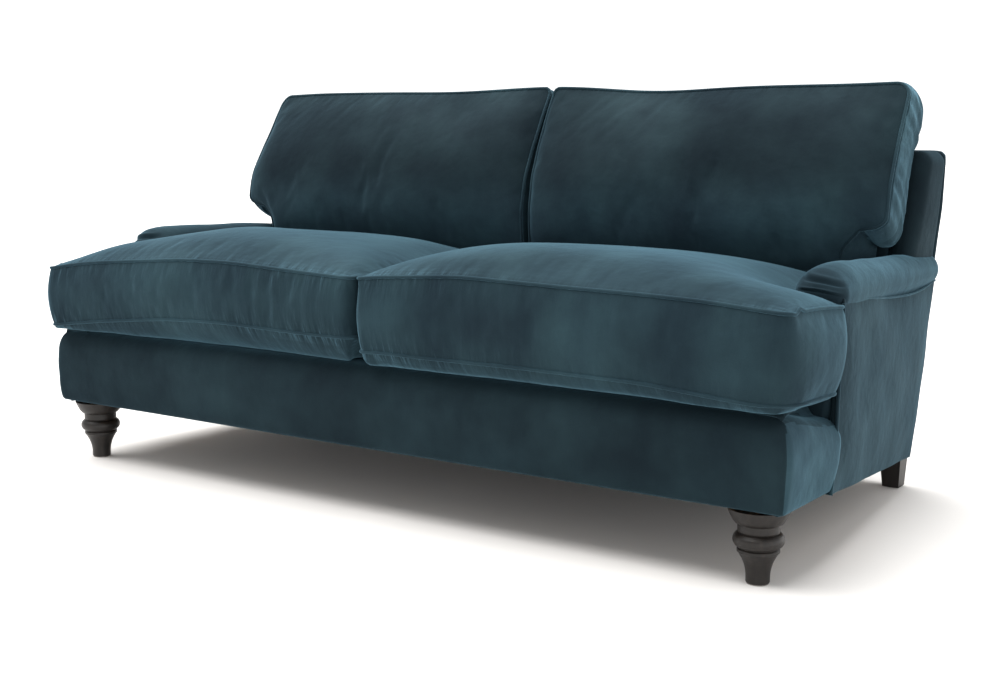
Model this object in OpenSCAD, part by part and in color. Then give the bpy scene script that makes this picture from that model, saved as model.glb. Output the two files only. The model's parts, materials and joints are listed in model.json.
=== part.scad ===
/* [Overall] */
// Width over the wings of the seat cushions
overall_w = 1956; // [1900:1:2010]
// Depth from the front of the seat cushions to the back of the sofa
overall_d = 950; // [930:1:970]
// Height of the top of the back cushions
overall_h = 911; // [900:1:925]

/* [Base] */
// Width of the upholstered base at the front
base_w = 1926; // [1880:1:1930]
// Floor to the underside of the base at the front
front_clear = 141; // [135:1:150]
// Floor to the underside of the base at the back
rear_clear = 67; // [60:1:80]
// Height of the top of the front border
border_top = 320; // [316:1:322]
// How far the seat cushions stand forward of the border
overhang = 30; // [20:1:40]

/* [Seat] */
// Height of the seat deck at the front
deck_h = 325; // [323:1:330]
// Backward slope of the deck in degrees
deck_slope = 1.5; // [1:0.1:2]
// Height of the boxing between the two piped edges of a seat cushion
seat_boxing = 155; // [145:1:160]

/* [Arms] */
// Distance from the middle of the sofa to the inside of an arm
arm_in = 864; // [860:1:866]
// Distance of an arm's front from the border's face
arm_front = 250; // [245:1:255]
// Height of the top of the arm at the front
arm_h = 566; // [555:1:568]

/* [Back] */
// Height of the top of the fixed back
back_h = 766; // [750:1:770]
// Half of the width of the fixed back above the arms
back_half = 935; // [930:1:940]

/* [Legs] */
// Largest diameter of a turned front leg
bulb_d = 94; // [88:1:100]
// Width of a rear leg at its top
rear_leg_w = 48; // [44:1:50]

/* [Hidden] */
$fn = 48;

// Colours of the finishes
velvet = "#30424a";
pine = "#c9a877";
dark_wood = "#322d2a";
steel = "#9aa0a6";
calico = "#d8d2c4";

// The base: y runs back from the border's face, and the whole sofa is centred at the end
front_y = overhang - overall_d / 2;
rear_y = overall_d - overhang;
base_half = base_w / 2;
cover_t = 10;
panel_t = 8;
panel_half = base_half + 2;
lip_t = 30;
rail_t = 26;
rail_in = 12;
rail_half = 815;
rear_rail_y = 886;
spring_rail_y = 848;
post_rail_z = [125, 236.5, 370, 706];
back_rail_h = 60;
block_w = 90;

// The front of the fixed back leans; back_face gives its place at a height
back_low = 335;
back_rake = 0.212;
function back_face(z) = 706 + (z - back_low) * back_rake;
back_rise = 0.01;
function back_rear(z) = rear_y - (back_h - z) * back_rise;

// Half of the width of the back at the floor line and at the arms' height
rear_half = [880, 924];

// The side panels lean outward as they rise at the back
panel_top = 476;
panel_front = [[panel_half, 212, front_clear], [panel_half, arm_front + 12, panel_top]];
panel_rear = [
    [rear_half[0] + 1, back_rear(rear_clear) - panel_t - 1, rear_clear],
    [rear_half[1] - 2, back_rear(panel_top) - panel_t - 1, panel_top]];

// The arm's roll is a cone, cut flat where it sits on its rail
roll_r = [54, 36];
roll_a = [arm_in + roll_r[0] - 2, arm_front + 14, arm_h - roll_r[0]];
roll_b = [arm_in + roll_r[1] - 2, 900, arm_h - roll_r[0] - 9];
roll_cut = 478;

pad_t = 40;
post_x = 838;
post_a = [post_x, 876, rear_clear + 1];
post_b = [post_x, 880, 674];

// Legs and their bolts
leg_front_at = [890, 60];
leg_rear_at = [852, 881];
leg_rear_foot = 884;
glide_h = 2;
foot_r = 22;
lip_r = 39;
lip_z = 60;
bulb_r = 14.5;
bulb_z = 82;
neck_r = 38.5;
neck_z = 111;
bolt_r = 4;
bore_r = 4.2;
block_h = 70;

// A seat cushion, seen from above; its own height h is measured from the deck
piping = 4;
skin = 3;
gap = 2;
seat_x0 = gap + piping;
seat_wing = overall_w / 2 - piping;
seat_body = arm_in - 8 - piping;
seat_front = piping - overhang;
wing_back = arm_front - 19;
seat_back = 686;
seat_low = 3;
zip_x = [90, 730];
seat_top = [
    [seat_front, 160], [40, 195], [150, 220], [300, 230],
    [450, 228], [560, 217], [640, 200], [seat_back, 180]];
seat_crown = [[seat_wing, 176], [900, 200], [780, 224], [600, 234], [300, 234], [120, 224], [seat_x0, 204]];

// A back cushion, seen from the side and from the front
ear_x = 900;
ear_z = 562;
back_x0 = gap + piping;
cushion_y = [560, 880];
back_front = [
    [648, 522], [610, 552], [598, 640], [626, 720],
    [680, 820], [736, 885], [768, overall_h - piping]];
back_behind = [
    [812, 903], [846, 862], [846, 830], [back_face(770) - 6, 770], [back_face(508) - 6, 508]];

spring_count = 8;
spring_pitch = 205;
spring_h = -41;
web_w = 50;
web_t = 2;
deck_half = 856;
deck_start = arm_front - 9;
deck_depth = 442;
dust_w = 1624;

// Lifts its children onto the sloping deck
module on_deck() {
    translate([0, 0, deck_h]) rotate([-deck_slope, 0, 0]) children();
}

// The right-hand piece, or its mirror image on the left
module hand(s) {
    mirror([s < 0 ? 1 : 0, 0, 0]) children();
}

// A bar whose centreline runs from a to b
module beam(a, b, w, h) {
    v = b - a;
    yaw = atan2(v[1], v[0]);
    pitch = asin(v[2] / norm(v));
    translate(a) rotate([0, -pitch, yaw]) translate([0, -w / 2, -h / 2]) cube([norm(v), w, h]);
}

// A round bar or cone from a to b
module rod(a, b, r1, r2) {
    v = b - a;
    yaw = atan2(v[1], v[0]);
    pitch = asin(v[2] / norm(v));
    translate(a) rotate([0, 90 - pitch, yaw]) cylinder(h = norm(v), r1 = r1, r2 = r2);
}

// A solid with a side outline of y and z points, from x = a to x = b
module across(a, b, outline) {
    translate([a, 0, 0]) rotate([90, 0, 90]) linear_extrude(b - a) polygon(outline);
}

// A solid with a front outline of x and z points, from y = a to y = b
module along(a, b, outline) {
    translate([0, b, 0]) rotate([90, 0, 0]) linear_extrude(b - a) polygon(outline);
}

// ---- the wooden frame ----

// A bar straight across the sofa
module cross_bar(half, y, z, w, h) {
    color(pine) beam([-half, y, z], [half, y, z], w, h);
}

module front_rail() {
    low = front_clear + 6;
    high = border_top - lip_t - 10;
    cross_bar(base_half - 38, rail_in + rail_t / 2, (low + high) / 2, rail_t, high - low);
}

module rear_rail() {
    cross_bar(rail_half, rear_rail_y, post_rail_z[0], rail_t, 100);
}

module spring_rail() {
    cross_bar(rail_half, spring_rail_y, post_rail_z[1], 45, 45);
}

module side_rail(s) {
    color(pine) hand(s) beam([938, 42, 215], [866, 845, 170], rail_t, 120);
}

module centre_rail() {
    color(pine) beam([0, rail_in + rail_t + 4, 185], [0, spring_rail_y - 27, 220], 45, 60);
}

module corner_block() {
    difference() {
        translate([leg_front_at[0] - 65, rail_in + rail_t, front_clear]) cube([block_w, block_w, block_h]);
        translate([leg_front_at[0], leg_front_at[1], front_clear - 1])
            cylinder(h = block_h + 2, r = bore_r);
    }
}

module corner_blocks() {
    color(pine) for (s = [-1, 1]) hand(s) corner_block();
}

module arm_post(s) {
    color(pine) hand(s) beam([918, 290, 265], [918, 290, 448], 56, 40);
}

module arm_top_rail(s) {
    color(pine) hand(s) beam([916, arm_front + 14, 463], [893, 890, 463], 40, 28);
}

module arm_tack_rails() {
    color(pine) for (s = [-1, 1]) hand(s) beam([908, 322, 345], [892, 840, 335], 22, 40);
}

module back_post(s) {
    color(pine) hand(s) difference() {
        beam(post_a, post_b, 44, 50);
        translate([leg_rear_at[0], leg_rear_at[1], 60]) cylinder(h = 70, r = bore_r);
    }
}

module back_top_rail() {
    cross_bar(post_x + 22, 882, post_rail_z[3], 45, back_rail_h);
}

module back_tack_rail() {
    cross_bar(rail_half - 3, 880, post_rail_z[2], 30, back_rail_h);
}

module back_upright() {
    low = post_rail_z[2] + back_rail_h / 2 + 2;
    high = post_rail_z[3] - back_rail_h / 2 - 2;
    color(pine) beam([0, 878, low], [0, 880, high], 30, 45);
}

// ---- springs, webbing and stuffing ----

// One flat zigzag of spring wire, running from front to back
module spring() {
    loops = 13;
    reach = 804;
    wave = 24;
    wire = 1.8;
    steps = loops * 6;
    path = [for (i = [0 : steps]) [wave * sin(i * 60), 24 + reach * i / steps]];
    side_a = [for (p = path) p + [-wire, 0]];
    side_b = [for (i = [steps : -1 : 0]) path[i] + [wire, 0]];
    linear_extrude(2 * wire) polygon(concat(side_a, side_b));
}

module seat_springs() {
    color(steel) on_deck() for (i = [0 : spring_count - 1])
        translate([(i - (spring_count - 1) / 2) * spring_pitch, 0, spring_h]) spring();
}

module spring_clips() {
    color(steel) on_deck() for (i = [0 : spring_count - 1], y = [17, 828])
        translate([(i - (spring_count - 1) / 2) * spring_pitch - 8, y, spring_h - 3]) cube([16, 7, 8]);
}

module back_webbing() {
    half = rail_half - 3;
    color("#3a3a3a") for (z = [460, 540, 620])
        beam([-half, back_face(z) + pad_t + 9, z], [half, back_face(z) + pad_t + 9, z], web_t, web_w);
}

module seat_hessian() {
    half = deck_half - 1;
    color(calico) on_deck() translate([-half, 28, -36]) cube([2 * half, 792, 1]);
}

module deck_pad() {
    half = deck_half - 1;
    color(calico) on_deck() translate([-half, deck_start + 1, -28]) cube([2 * half, deck_depth - 2, 25]);
}

module deck_cloth() {
    color(velvet) on_deck() translate([-deck_half, deck_start, -2.5]) cube([2 * deck_half, deck_depth, 2]);
}

module dust_cover() {
    color("#1c1c1e")
        beam([0, rail_in, front_clear + 2], [0, rear_rail_y - 14, rear_clear + 4], dust_w, 1.5);
}

// ---- the fixed upholstery ----

module front_border() {
    returns = [[0, front_clear], [206, front_clear], [232, border_top], [0, border_top]];
    low = front_clear - 5;
    high = border_top - lip_t;
    inside = [[cover_t, low], [260, low], [260, high], [cover_t, high]];
    color(velvet) difference() {
        across(-base_half, base_half, returns);
        across(cover_t - base_half, base_half - cover_t, inside);
    }
}

// The inside of the arm and the roll over its top rail, as one padded piece
module arm_pad(s) {
    inside = [[arm_front + 14, 290], [695, 282], [740, 478], [740, 500], [arm_front + 14, 500]];
    color(velvet) hand(s) union() {
        difference() {
            rod(roll_a, roll_b, roll_r[0], roll_r[1]);
            translate([700, 200, roll_cut - 100]) cube([400, 800, 100]);
        }
        across(arm_in + 2, arm_in + 12, inside);
    }
}

module arm_facing(s) {
    thick = 12;
    wide = panel_half - arm_in - 14;
    color(velvet) hand(s) translate([0, arm_front + thick, 0]) rotate([90, 0, 0]) linear_extrude(thick) {
        difference() {
            translate([roll_a[0], roll_a[2]]) circle(r = roll_r[0]);
            translate([arm_in - 5, border_top]) square([120, roll_cut - border_top]);
        }
        translate([arm_in + 4, border_top + 5]) square([wide, roll_cut - border_top]);
    }
}

// The outer skin of an arm: a plate between its front and rear edges
module arm_panel(s) {
    outer = [panel_front[0], panel_rear[0], panel_rear[1], panel_front[1]];
    inner = [for (p = outer) p - [panel_t, 0, 0]];
    color(velvet) hand(s) polyhedron(
        points = concat(outer, inner),
        faces = [[0, 2, 1], [0, 3, 2], [4, 5, 6], [4, 6, 7],
                 [0, 1, 5], [0, 5, 4], [1, 2, 6], [1, 6, 5],
                 [2, 3, 7], [2, 7, 6], [3, 0, 4], [3, 4, 7]]);
}

// One welt down the front edge of each arm panel and one along its top, which start apart
module arm_welts() {
    out = [piping + 1, 0, 0];
    color(velvet) for (s = [-1, 1]) hand(s) {
        rod(panel_front[0] + out, panel_front[1] + out - [0, 2, 3 * piping], piping, piping);
        rod(panel_front[1] + out, panel_rear[1] + out, piping, piping);
    }
}

// The padded front of the fixed back, carried over the top rail
module inside_back() {
    top = back_h - 24;
    top_rear = back_rear(top) - panel_t - 1;
    outline = [
        [back_face(back_low), back_low], [back_face(back_h), back_h], [top_rear, back_h],
        [top_rear, top], [back_face(top) + pad_t, top], [back_face(back_low) + pad_t, back_low]];
    color(velvet) across(2 - arm_in, arm_in - 2, outline);
}

module back_end(s) {
    low = 548;
    outline = [
        [back_face(low), low], [back_face(back_h), back_h],
        [back_rear(back_h) - panel_t - 1, back_h], [back_rear(low) - panel_t - 1, low]];
    color(velvet) hand(s) across(arm_in - 1, back_half, outline);
}

module outside_back() {
    half = [[rear_half[0], rear_clear], [rear_half[1], panel_top], [back_half, 575], [back_half, back_h]];
    outline = concat(half, [for (i = [len(half) - 1 : -1 : 0]) [-half[i][0], half[i][1]]]);
    plate = [[back_rear(rear_clear), rear_clear], [back_rear(back_h), back_h],
             [back_rear(back_h) - panel_t, back_h], [back_rear(rear_clear) - panel_t, rear_clear]];
    color(velvet) intersection() {
        along(800, rear_y + 20, outline);
        across(-base_half, base_half, plate);
    }
}

// ---- legs ----

// Half of a turned front leg: foot, lip, bulb, neck and the flare that meets the rail
function front_leg_outline() = concat(
    [[0, glide_h], [foot_r - 1, glide_h], [foot_r, glide_h + 2]],
    [for (t = [0 : 0.125 : 1]) [foot_r + 15 * pow(t, 2.2), 10 + (lip_z - 12) * t]],
    [[lip_r, lip_z], [lip_r, lip_z + 5], [lip_r - 2, lip_z + 7]],
    [for (a = [-70 : 14 : 70]) [bulb_d / 2 - bulb_r + bulb_r * cos(a), bulb_z + bulb_r * sin(a)]],
    [[neck_r, bulb_z + bulb_r + 2], [neck_r, neck_z]],
    [for (t = [0.1 : 0.15 : 1]) [neck_r + 20 * pow(t, 0.56), neck_z + (front_clear - neck_z) * t]],
    [[0, front_clear]]);

module leg_front(s) {
    color(dark_wood) hand(s) translate([leg_front_at[0], leg_front_at[1], 0]) difference() {
        rotate_extrude() polygon(front_leg_outline());
        translate([0, 0, 80]) cylinder(h = 100, r = bore_r);
    }
}

module leg_rear(s) {
    foot_w = rear_leg_w - 10;
    color(dark_wood) hand(s) difference() {
        hull() {
            translate([leg_rear_at[0], leg_rear_at[1], rear_clear - 0.5])
                cube([rear_leg_w, rear_leg_w, 1], center = true);
            translate([leg_rear_at[0], leg_rear_foot, glide_h + 0.5])
                cube([foot_w, foot_w, 1], center = true);
        }
        translate([leg_rear_at[0], leg_rear_at[1], 40]) cylinder(h = 60, r = bore_r);
    }
}

module leg_glides() {
    color("#8b8378") for (s = [-1, 1]) hand(s) {
        translate([leg_front_at[0], leg_front_at[1], 0]) cylinder(h = glide_h, r = foot_r - 2);
        translate([leg_rear_at[0], leg_rear_foot, 0]) cylinder(h = glide_h, r = 16);
    }
}

module leg_bolts() {
    color(steel) for (s = [-1, 1]) hand(s) {
        translate([leg_front_at[0], leg_front_at[1], 82])
            cylinder(h = front_clear + block_h - 74, r = bolt_r);
        translate([leg_rear_at[0], leg_rear_at[1], 42]) cylinder(h = 85, r = bolt_r);
    }
}

module leg_nuts() {
    color(steel) for (s = [-1, 1]) hand(s)
        translate([leg_front_at[0], leg_front_at[1], front_clear + block_h]) difference() {
            cylinder(h = 6, r = 11);
            translate([0, 0, -1]) cylinder(h = 8, r = bore_r);
        }
}

// ---- the loose seat cushions ----

// The T-shaped outline of a seat cushion, grown outward by g
function seat_plan(g) = [
    [seat_x0 - g, seat_front - g], [seat_wing + g, seat_front - g], [seat_wing + g, wing_back + g],
    [seat_body + g, wing_back + g], [seat_body + g, seat_back + g], [seat_x0 - g, seat_back + g]];

// A seat cushion made smaller all round by g
module seat_solid(g) {
    low = seat_low + g;
    side = concat([[seat_back + 1, low], [seat_front - 1, low]], [for (p = seat_top) p - [0, g]]);
    front = concat([[seat_x0 - 1, low], [seat_wing + 1, low]], [for (p = seat_crown) p - [0, g]]);
    intersection() {
        linear_extrude(300) polygon(seat_plan(-g));
        across(0, overall_w / 2, side);
        along(-overhang, seat_back + 10, front);
    }
}

module seat_cover(s) {
    color(velvet) hand(s) on_deck() difference() {
        seat_solid(0);
        seat_solid(skin);
    }
}

module seat_core(s) {
    color(calico) hand(s) on_deck() seat_solid(skin);
}

module seat_piping(s) {
    color(velvet) hand(s) on_deck() for (h = [seat_low + 8, seat_boxing - 3])
        translate([0, 0, h]) linear_extrude(2 * piping - 2) difference() {
            polygon(seat_plan(piping));
            polygon(seat_plan(0));
        }
}

module seat_zip(s) {
    long = zip_x[1] - zip_x[0];
    color("#1c1c1e") hand(s) on_deck() translate([zip_x[0], seat_back, 78]) cube([long, 2.5, 14]);
}

// ---- the loose back cushions ----

// The outline of a back cushion from the front, with an ear over the arm, grown outward by g
function back_plan(g) = [
    [back_x0 - g, 400], [seat_body + g, 400], [seat_body + g, ear_z - g], [ear_x + g, ear_z - g],
    [ear_x + g, overall_h - piping + g], [back_x0 - g, overall_h - piping + g]];

module back_solid() {
    intersection() {
        along(cushion_y[0], cushion_y[1], back_plan(0));
        across(0, base_half, concat(back_front, back_behind));
    }
}

// The filling is the same shape at a smaller scale about the cushion's middle
module back_filling() {
    middle = [(back_x0 + ear_x) / 2, 722, 705];
    translate(middle) scale(0.982) translate(-middle) back_solid();
}

module back_cover(s) {
    color(velvet) hand(s) difference() {
        back_solid();
        back_filling();
    }
}

module back_fill(s) {
    color(calico) hand(s) back_filling();
}

// Piping round the sides and the top of a back cushion's front edge
module back_piping(s) {
    edge = concat(back_front, [for (i = [len(back_front) - 1 : -1 : 0]) back_front[i] + [7, 4]]);
    color(velvet) hand(s) intersection() {
        difference() {
            along(cushion_y[0], cushion_y[1], back_plan(piping));
            along(cushion_y[0] - 1, cushion_y[1] + 1, back_plan(0));
        }
        across(0, base_half, edge);
    }
}

module back_zip(s) {
    a = back_behind[len(back_behind) - 1];
    drop = (back_front[0][1] - a[1]) / (a[0] - back_front[0][0]);
    strip = [[-40, -0.5], [-26, -0.5], [-26, -3], [-40, -3]];
    color("#1c1c1e") hand(s)
        across(zip_x[0], zip_x[1], [for (p = strip) a + [p[0], p[1] - p[0] * drop]]);
}

translate([0, front_y, 0]) {
    front_rail();
    rear_rail();
    spring_rail();
    side_rail(-1);  // side_rail_left
    side_rail(1);  // side_rail_right
    centre_rail();
    corner_blocks();
    arm_post(-1);  // arm_post_left
    arm_post(1);  // arm_post_right
    arm_top_rail(-1);  // arm_top_rail_left
    arm_top_rail(1);  // arm_top_rail_right
    arm_tack_rails();
    back_post(-1);  // back_post_left
    back_post(1);  // back_post_right
    back_top_rail();
    back_tack_rail();
    back_upright();
    seat_springs();
    spring_clips();
    back_webbing();
    seat_hessian();
    deck_pad();
    deck_cloth();
    dust_cover();
    front_border();
    arm_pad(-1);  // arm_pad_left
    arm_pad(1);  // arm_pad_right
    arm_facing(-1);  // arm_facing_left
    arm_facing(1);  // arm_facing_right
    arm_panel(-1);  // arm_panel_left
    arm_panel(1);  // arm_panel_right
    arm_welts();
    inside_back();
    back_end(-1);  // back_end_left
    back_end(1);  // back_end_right
    outside_back();
    leg_front(-1);  // leg_front_left
    leg_front(1);  // leg_front_right
    leg_rear(-1);  // leg_rear_left
    leg_rear(1);  // leg_rear_right
    leg_glides();
    leg_bolts();
    leg_nuts();
    seat_cover(-1);  // seat_cover_left
    seat_core(-1);  // seat_core_left
    seat_piping(-1);  // seat_piping_left
    seat_zip(-1);  // seat_zip_left
    seat_cover(1);  // seat_cover_right
    seat_core(1);  // seat_core_right
    seat_piping(1);  // seat_piping_right
    seat_zip(1);  // seat_zip_right
    back_cover(-1);  // back_cover_left
    back_fill(-1);  // back_fill_left
    back_piping(-1);  // back_piping_left
    back_zip(-1);  // back_zip_left
    back_cover(1);  // back_cover_right
    back_fill(1);  // back_fill_right
    back_piping(1);  // back_piping_right
    back_zip(1);  // back_zip_right
}
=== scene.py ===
"""A velvet sofa on wooden legs: two seat cushions, two back cushions, rolled arms and turned front legs."""

import json
import math

import bmesh
import bpy
import numpy as np
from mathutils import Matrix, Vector

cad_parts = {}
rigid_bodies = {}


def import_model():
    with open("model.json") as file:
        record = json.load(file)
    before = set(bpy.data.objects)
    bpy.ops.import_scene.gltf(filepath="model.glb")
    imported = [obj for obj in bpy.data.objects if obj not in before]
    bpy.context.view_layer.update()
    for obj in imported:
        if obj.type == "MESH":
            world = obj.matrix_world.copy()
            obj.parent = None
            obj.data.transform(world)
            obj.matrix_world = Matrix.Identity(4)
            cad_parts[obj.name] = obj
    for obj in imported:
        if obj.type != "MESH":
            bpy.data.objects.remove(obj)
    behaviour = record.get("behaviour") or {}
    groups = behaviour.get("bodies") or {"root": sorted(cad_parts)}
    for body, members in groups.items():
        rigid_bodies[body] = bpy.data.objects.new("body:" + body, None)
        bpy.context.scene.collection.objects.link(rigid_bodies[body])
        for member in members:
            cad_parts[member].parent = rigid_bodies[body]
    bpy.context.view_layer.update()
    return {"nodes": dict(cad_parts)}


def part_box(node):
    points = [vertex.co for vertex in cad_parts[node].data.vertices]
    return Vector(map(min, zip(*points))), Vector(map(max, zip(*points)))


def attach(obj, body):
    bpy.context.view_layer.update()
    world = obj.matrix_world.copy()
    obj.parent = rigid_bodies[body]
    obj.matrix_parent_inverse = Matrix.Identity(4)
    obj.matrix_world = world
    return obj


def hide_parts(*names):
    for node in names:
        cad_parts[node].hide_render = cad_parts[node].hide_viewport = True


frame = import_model()

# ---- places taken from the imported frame, in metres ----

border_lo, border_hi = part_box("front_border")
seat_lo, seat_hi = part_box("seat_cover_right")
back_lo, back_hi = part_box("back_cover_right")
arm_lo, arm_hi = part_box("arm_pad_right")
facing_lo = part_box("arm_facing_right")[0]
panel_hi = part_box("arm_panel_right")[1]
end_lo, end_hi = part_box("back_end_right")
inside_lo, inside_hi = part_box("inside_back")
outside_lo, outside_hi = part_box("outside_back")
deck_lo, deck_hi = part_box("deck_cloth")
dust_lo, dust_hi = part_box("dust_cover")

# The border's face: a distance called back is measured from here
FRONT = border_lo.y
# The deck's drop, and the fixed back's lean, in metres per metre
DECK_SLOPE = 0.0262
RAKE = 0.212
DECK_TOP = deck_hi.z + (deck_lo.y - FRONT) * DECK_SLOPE
BACK_FACE_LOW = inside_lo.y - FRONT
# The side of a cushion's body, the rear of a seat cushion's wing, and the end of a back cushion's ear
SEAT_BODY = arm_lo.x - 0.010
WING_BACK = facing_lo.y - FRONT - 0.019
EAR_X = back_hi.x
# Distance between a cushion's points before subdivision, and the piping's radius
CELL = 0.0105
PIPE_R = 0.0036
# Loose cushions stand this far off the middle plane
MIDDLE_GAP = 0.0012
LEFT, RIGHT = -1, 1
SIDES = {LEFT: "left", RIGHT: "right"}


def deck(back):
    """Height of the sloping seat deck at a distance behind the border's face"""
    return DECK_TOP - back * DECK_SLOPE


def back_face(z):
    """Distance of the fixed back's leaning front from the border's face"""
    return BACK_FACE_LOW + (z - inside_lo.z) * RAKE


# ---- small tools ----


def table(values, stops):
    """Smooth reading of a list of (place, value) pairs"""
    places, heights = zip(*stops)
    fine = np.linspace(places[0], places[-1], 200)
    read = np.interp(fine, places, heights)
    reach = 15
    padded = np.pad(read, reach, mode="edge")
    window = np.hanning(2 * reach + 1)
    soft = np.convolve(padded, window / window.sum(), mode="valid")
    return np.interp(values, fine, soft)


def ease(values, low, high):
    """0 below low, 1 above high, and a smooth step between"""
    t = np.clip((values - low) / (high - low), 0, 1)
    return t * t * (3 - 2 * t)


def wander(points, size, seed):
    """Soft random waves about size long, between about -1 and 1"""
    rng = np.random.default_rng(seed)
    total = np.zeros(len(points))
    waves = 12
    for _ in range(waves):
        way = rng.normal(size=3)
        way *= 2 * math.pi / size * rng.uniform(0.6, 1.4) / np.linalg.norm(way)
        total += np.sin(points @ way + rng.uniform(0, 2 * math.pi))
    return total / math.sqrt(waves)


def add_object(name, data):
    """A new object in the scene"""
    obj = bpy.data.objects.new(name, data)
    bpy.context.scene.collection.objects.link(obj)
    return obj


def make_piece(name, points, faces, side=RIGHT):
    """A smooth mesh object, mirrored to the left where side is LEFT"""
    points = np.array(points, float) * [side, 1, 1]
    mesh = bpy.data.meshes.new(name)
    mesh.from_pydata(points.tolist(), [], [list(map(int, f)) for f in faces])
    bm = bmesh.new()
    bm.from_mesh(mesh)
    bmesh.ops.recalc_face_normals(bm, faces=bm.faces)
    bm.to_mesh(mesh)
    bm.free()
    mesh.shade_smooth()
    return add_object(name, mesh)


def round_corner(u, v, corner_u, corner_v, r, sign_u=1, sign_v=1):
    """u and v moved so that the corner they share is rounded to radius r"""
    p = np.clip(1 - (corner_u - u) * sign_u / r, 0, 1)
    q = np.clip(1 - (corner_v - v) * sign_v / r, 0, 1)
    new_u = corner_u + sign_u * r * (p * np.sqrt(1 - q * q / 2) - 1)
    new_v = corner_v + sign_v * r * (q * np.sqrt(1 - p * p / 2) - 1)
    here = (p > 0) & (q > 0)
    return np.where(here, new_u, u), np.where(here, new_v, v)


def read_vectors(items, name):
    """One vector of each item of a mesh, as an array"""
    flat = np.zeros(len(items) * 3)
    items.foreach_get(name, flat)
    return flat.reshape(-1, 3)


def get_points(obj):
    return read_vectors(obj.data.vertices, "co")


def set_points(obj, points):
    obj.data.vertices.foreach_set("co", points.ravel())
    obj.data.update()


def get_normals(obj):
    return read_vectors(obj.data.vertex_normals, "vector")


def set_values(obj, name, values):
    """A number for each point, which the velvet reads"""
    attribute = obj.data.attributes.new(name, "FLOAT", "POINT")
    attribute.data.foreach_set("value", values.astype(np.float32))


def subdivide(obj):
    mod = obj.modifiers.new("Subdivision", "SUBSURF")
    mod.levels = 1
    mod.render_levels = 1


def finish_piece(obj, material, nodes, body="root"):
    """Sets a piece's material and its body, and hides the CAD nodes it stands for"""
    obj.data.materials.append(material)
    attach(obj, body)
    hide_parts(*nodes)


def tube(name, path, radius, closed, side=RIGHT):
    """A round cord along a path of points"""
    sides = 8
    path = np.array(path, float)
    count = len(path)
    if closed:
        run = np.roll(path, -1, 0) - np.roll(path, 1, 0)
    else:
        run = np.gradient(path, axis=0)
    run /= np.linalg.norm(run, axis=1)[:, None]
    points, faces = [], []
    across = np.cross(run[0], [0.3, 0.5, 0.8])
    for k in range(count):
        across = across - run[k] * (across @ run[k])
        across /= np.linalg.norm(across)
        up = np.cross(run[k], across)
        for a in range(sides):
            turn = 2 * math.pi * a / sides
            points.append(path[k] + radius * (math.cos(turn) * across + math.sin(turn) * up))
    shift = 0
    if closed:
        first = np.array(points[:sides])
        tail = np.array(points[-sides:])
        shift = min(range(sides), key=lambda s: np.sum((np.roll(first, -s, 0) - tail) ** 2))
    for k in range(count if closed else count - 1):
        n = (k + 1) % count
        turn = shift if n == 0 else 0
        for a in range(sides):
            b = (a + 1) % sides
            here, there = k * sides, n * sides
            faces.append([here + a, here + b, there + (b + turn) % sides, there + (a + turn) % sides])
    if not closed:
        faces.append(list(range(sides)))
        faces.append([(count - 1) * sides + a for a in range(sides)])
    return make_piece(name, points, faces, side)


def smooth_path(stops, step):
    """Points about step apart on a smooth curve through a few stops"""
    stops = np.array(stops, float)
    lengths = np.concatenate([[0], np.cumsum(np.linalg.norm(np.diff(stops, axis=0), axis=1))])
    fine = np.linspace(0, lengths[-1], max(4, int(lengths[-1] / step)))
    points = np.stack([np.interp(fine, lengths, stops[:, c]) for c in range(3)], 1)
    for _ in range(8):
        points[1:-1] = (points[:-2] + 2 * points[1:-1] + points[2:]) / 4
    return points


def soft_box(name, lo, hi, radius, warp, cell, side=RIGHT):
    """A padded box with rounded edges: an even grid that warp bends, then subdivided"""
    lo, hi = np.array(lo, float), np.array(hi, float)
    size = hi - lo
    counts = [max(2, int(round(s / cell))) for s in size]
    points, index, faces = [], {}, []

    def line(n, length):
        inner = np.linspace(radius, length - radius, n + 1)
        arc = np.linspace(0, radius, 4)[:-1]
        return np.concatenate([arc, inner, length - arc[::-1]])

    lines = [line(c, s) for c, s in zip(counts, size)]
    ends = [len(line_) - 1 for line_ in lines]

    def corner(i, j, k):
        key = (i, j, k)
        if key not in index:
            p = np.array([lines[0][i], lines[1][j], lines[2][k]])
            core = np.clip(p, radius, size - radius)
            off = p - core
            reach = np.abs(off).max()
            if reach > 0:
                off *= reach / np.linalg.norm(off)
            index[key] = len(points)
            points.append(lo + core + off)
        return index[key]

    for axis in range(3):
        a, b = [x for x in range(3) if x != axis]
        for end in (0, ends[axis]):
            for i in range(ends[a]):
                for j in range(ends[b]):
                    quad = []
                    for di, dj in ((0, 0), (1, 0), (1, 1), (0, 1)):
                        key = [0, 0, 0]
                        key[axis], key[a], key[b] = end, i + di, j + dj
                        quad.append(corner(*key))
                    faces.append(quad)
    obj = make_piece(name, warp(np.array(points)), faces, side)
    subdivide(obj)
    return obj


def loft(name, rings, side=RIGHT, closed_rings=True):
    """Skin over rows of points of equal length; closed rings also get a cap at each end"""
    rings = np.array(rings, float)
    rows, count = rings.shape[:2]
    points = rings.reshape(-1, 3).tolist()
    faces = []
    for r in range(rows - 1):
        for k in range(count if closed_rings else count - 1):
            n = (k + 1) % count
            faces.append([r * count + k, r * count + n, (r + 1) * count + n, (r + 1) * count + k])
    if closed_rings:
        for r in (0, rows - 1):
            points.append(rings[r].mean(0).tolist())
            for k in range(count):
                faces.append([r * count + k, r * count + (k + 1) % count, len(points) - 1])
    return make_piece(name, points, faces, side)


# ---- materials ----


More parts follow.
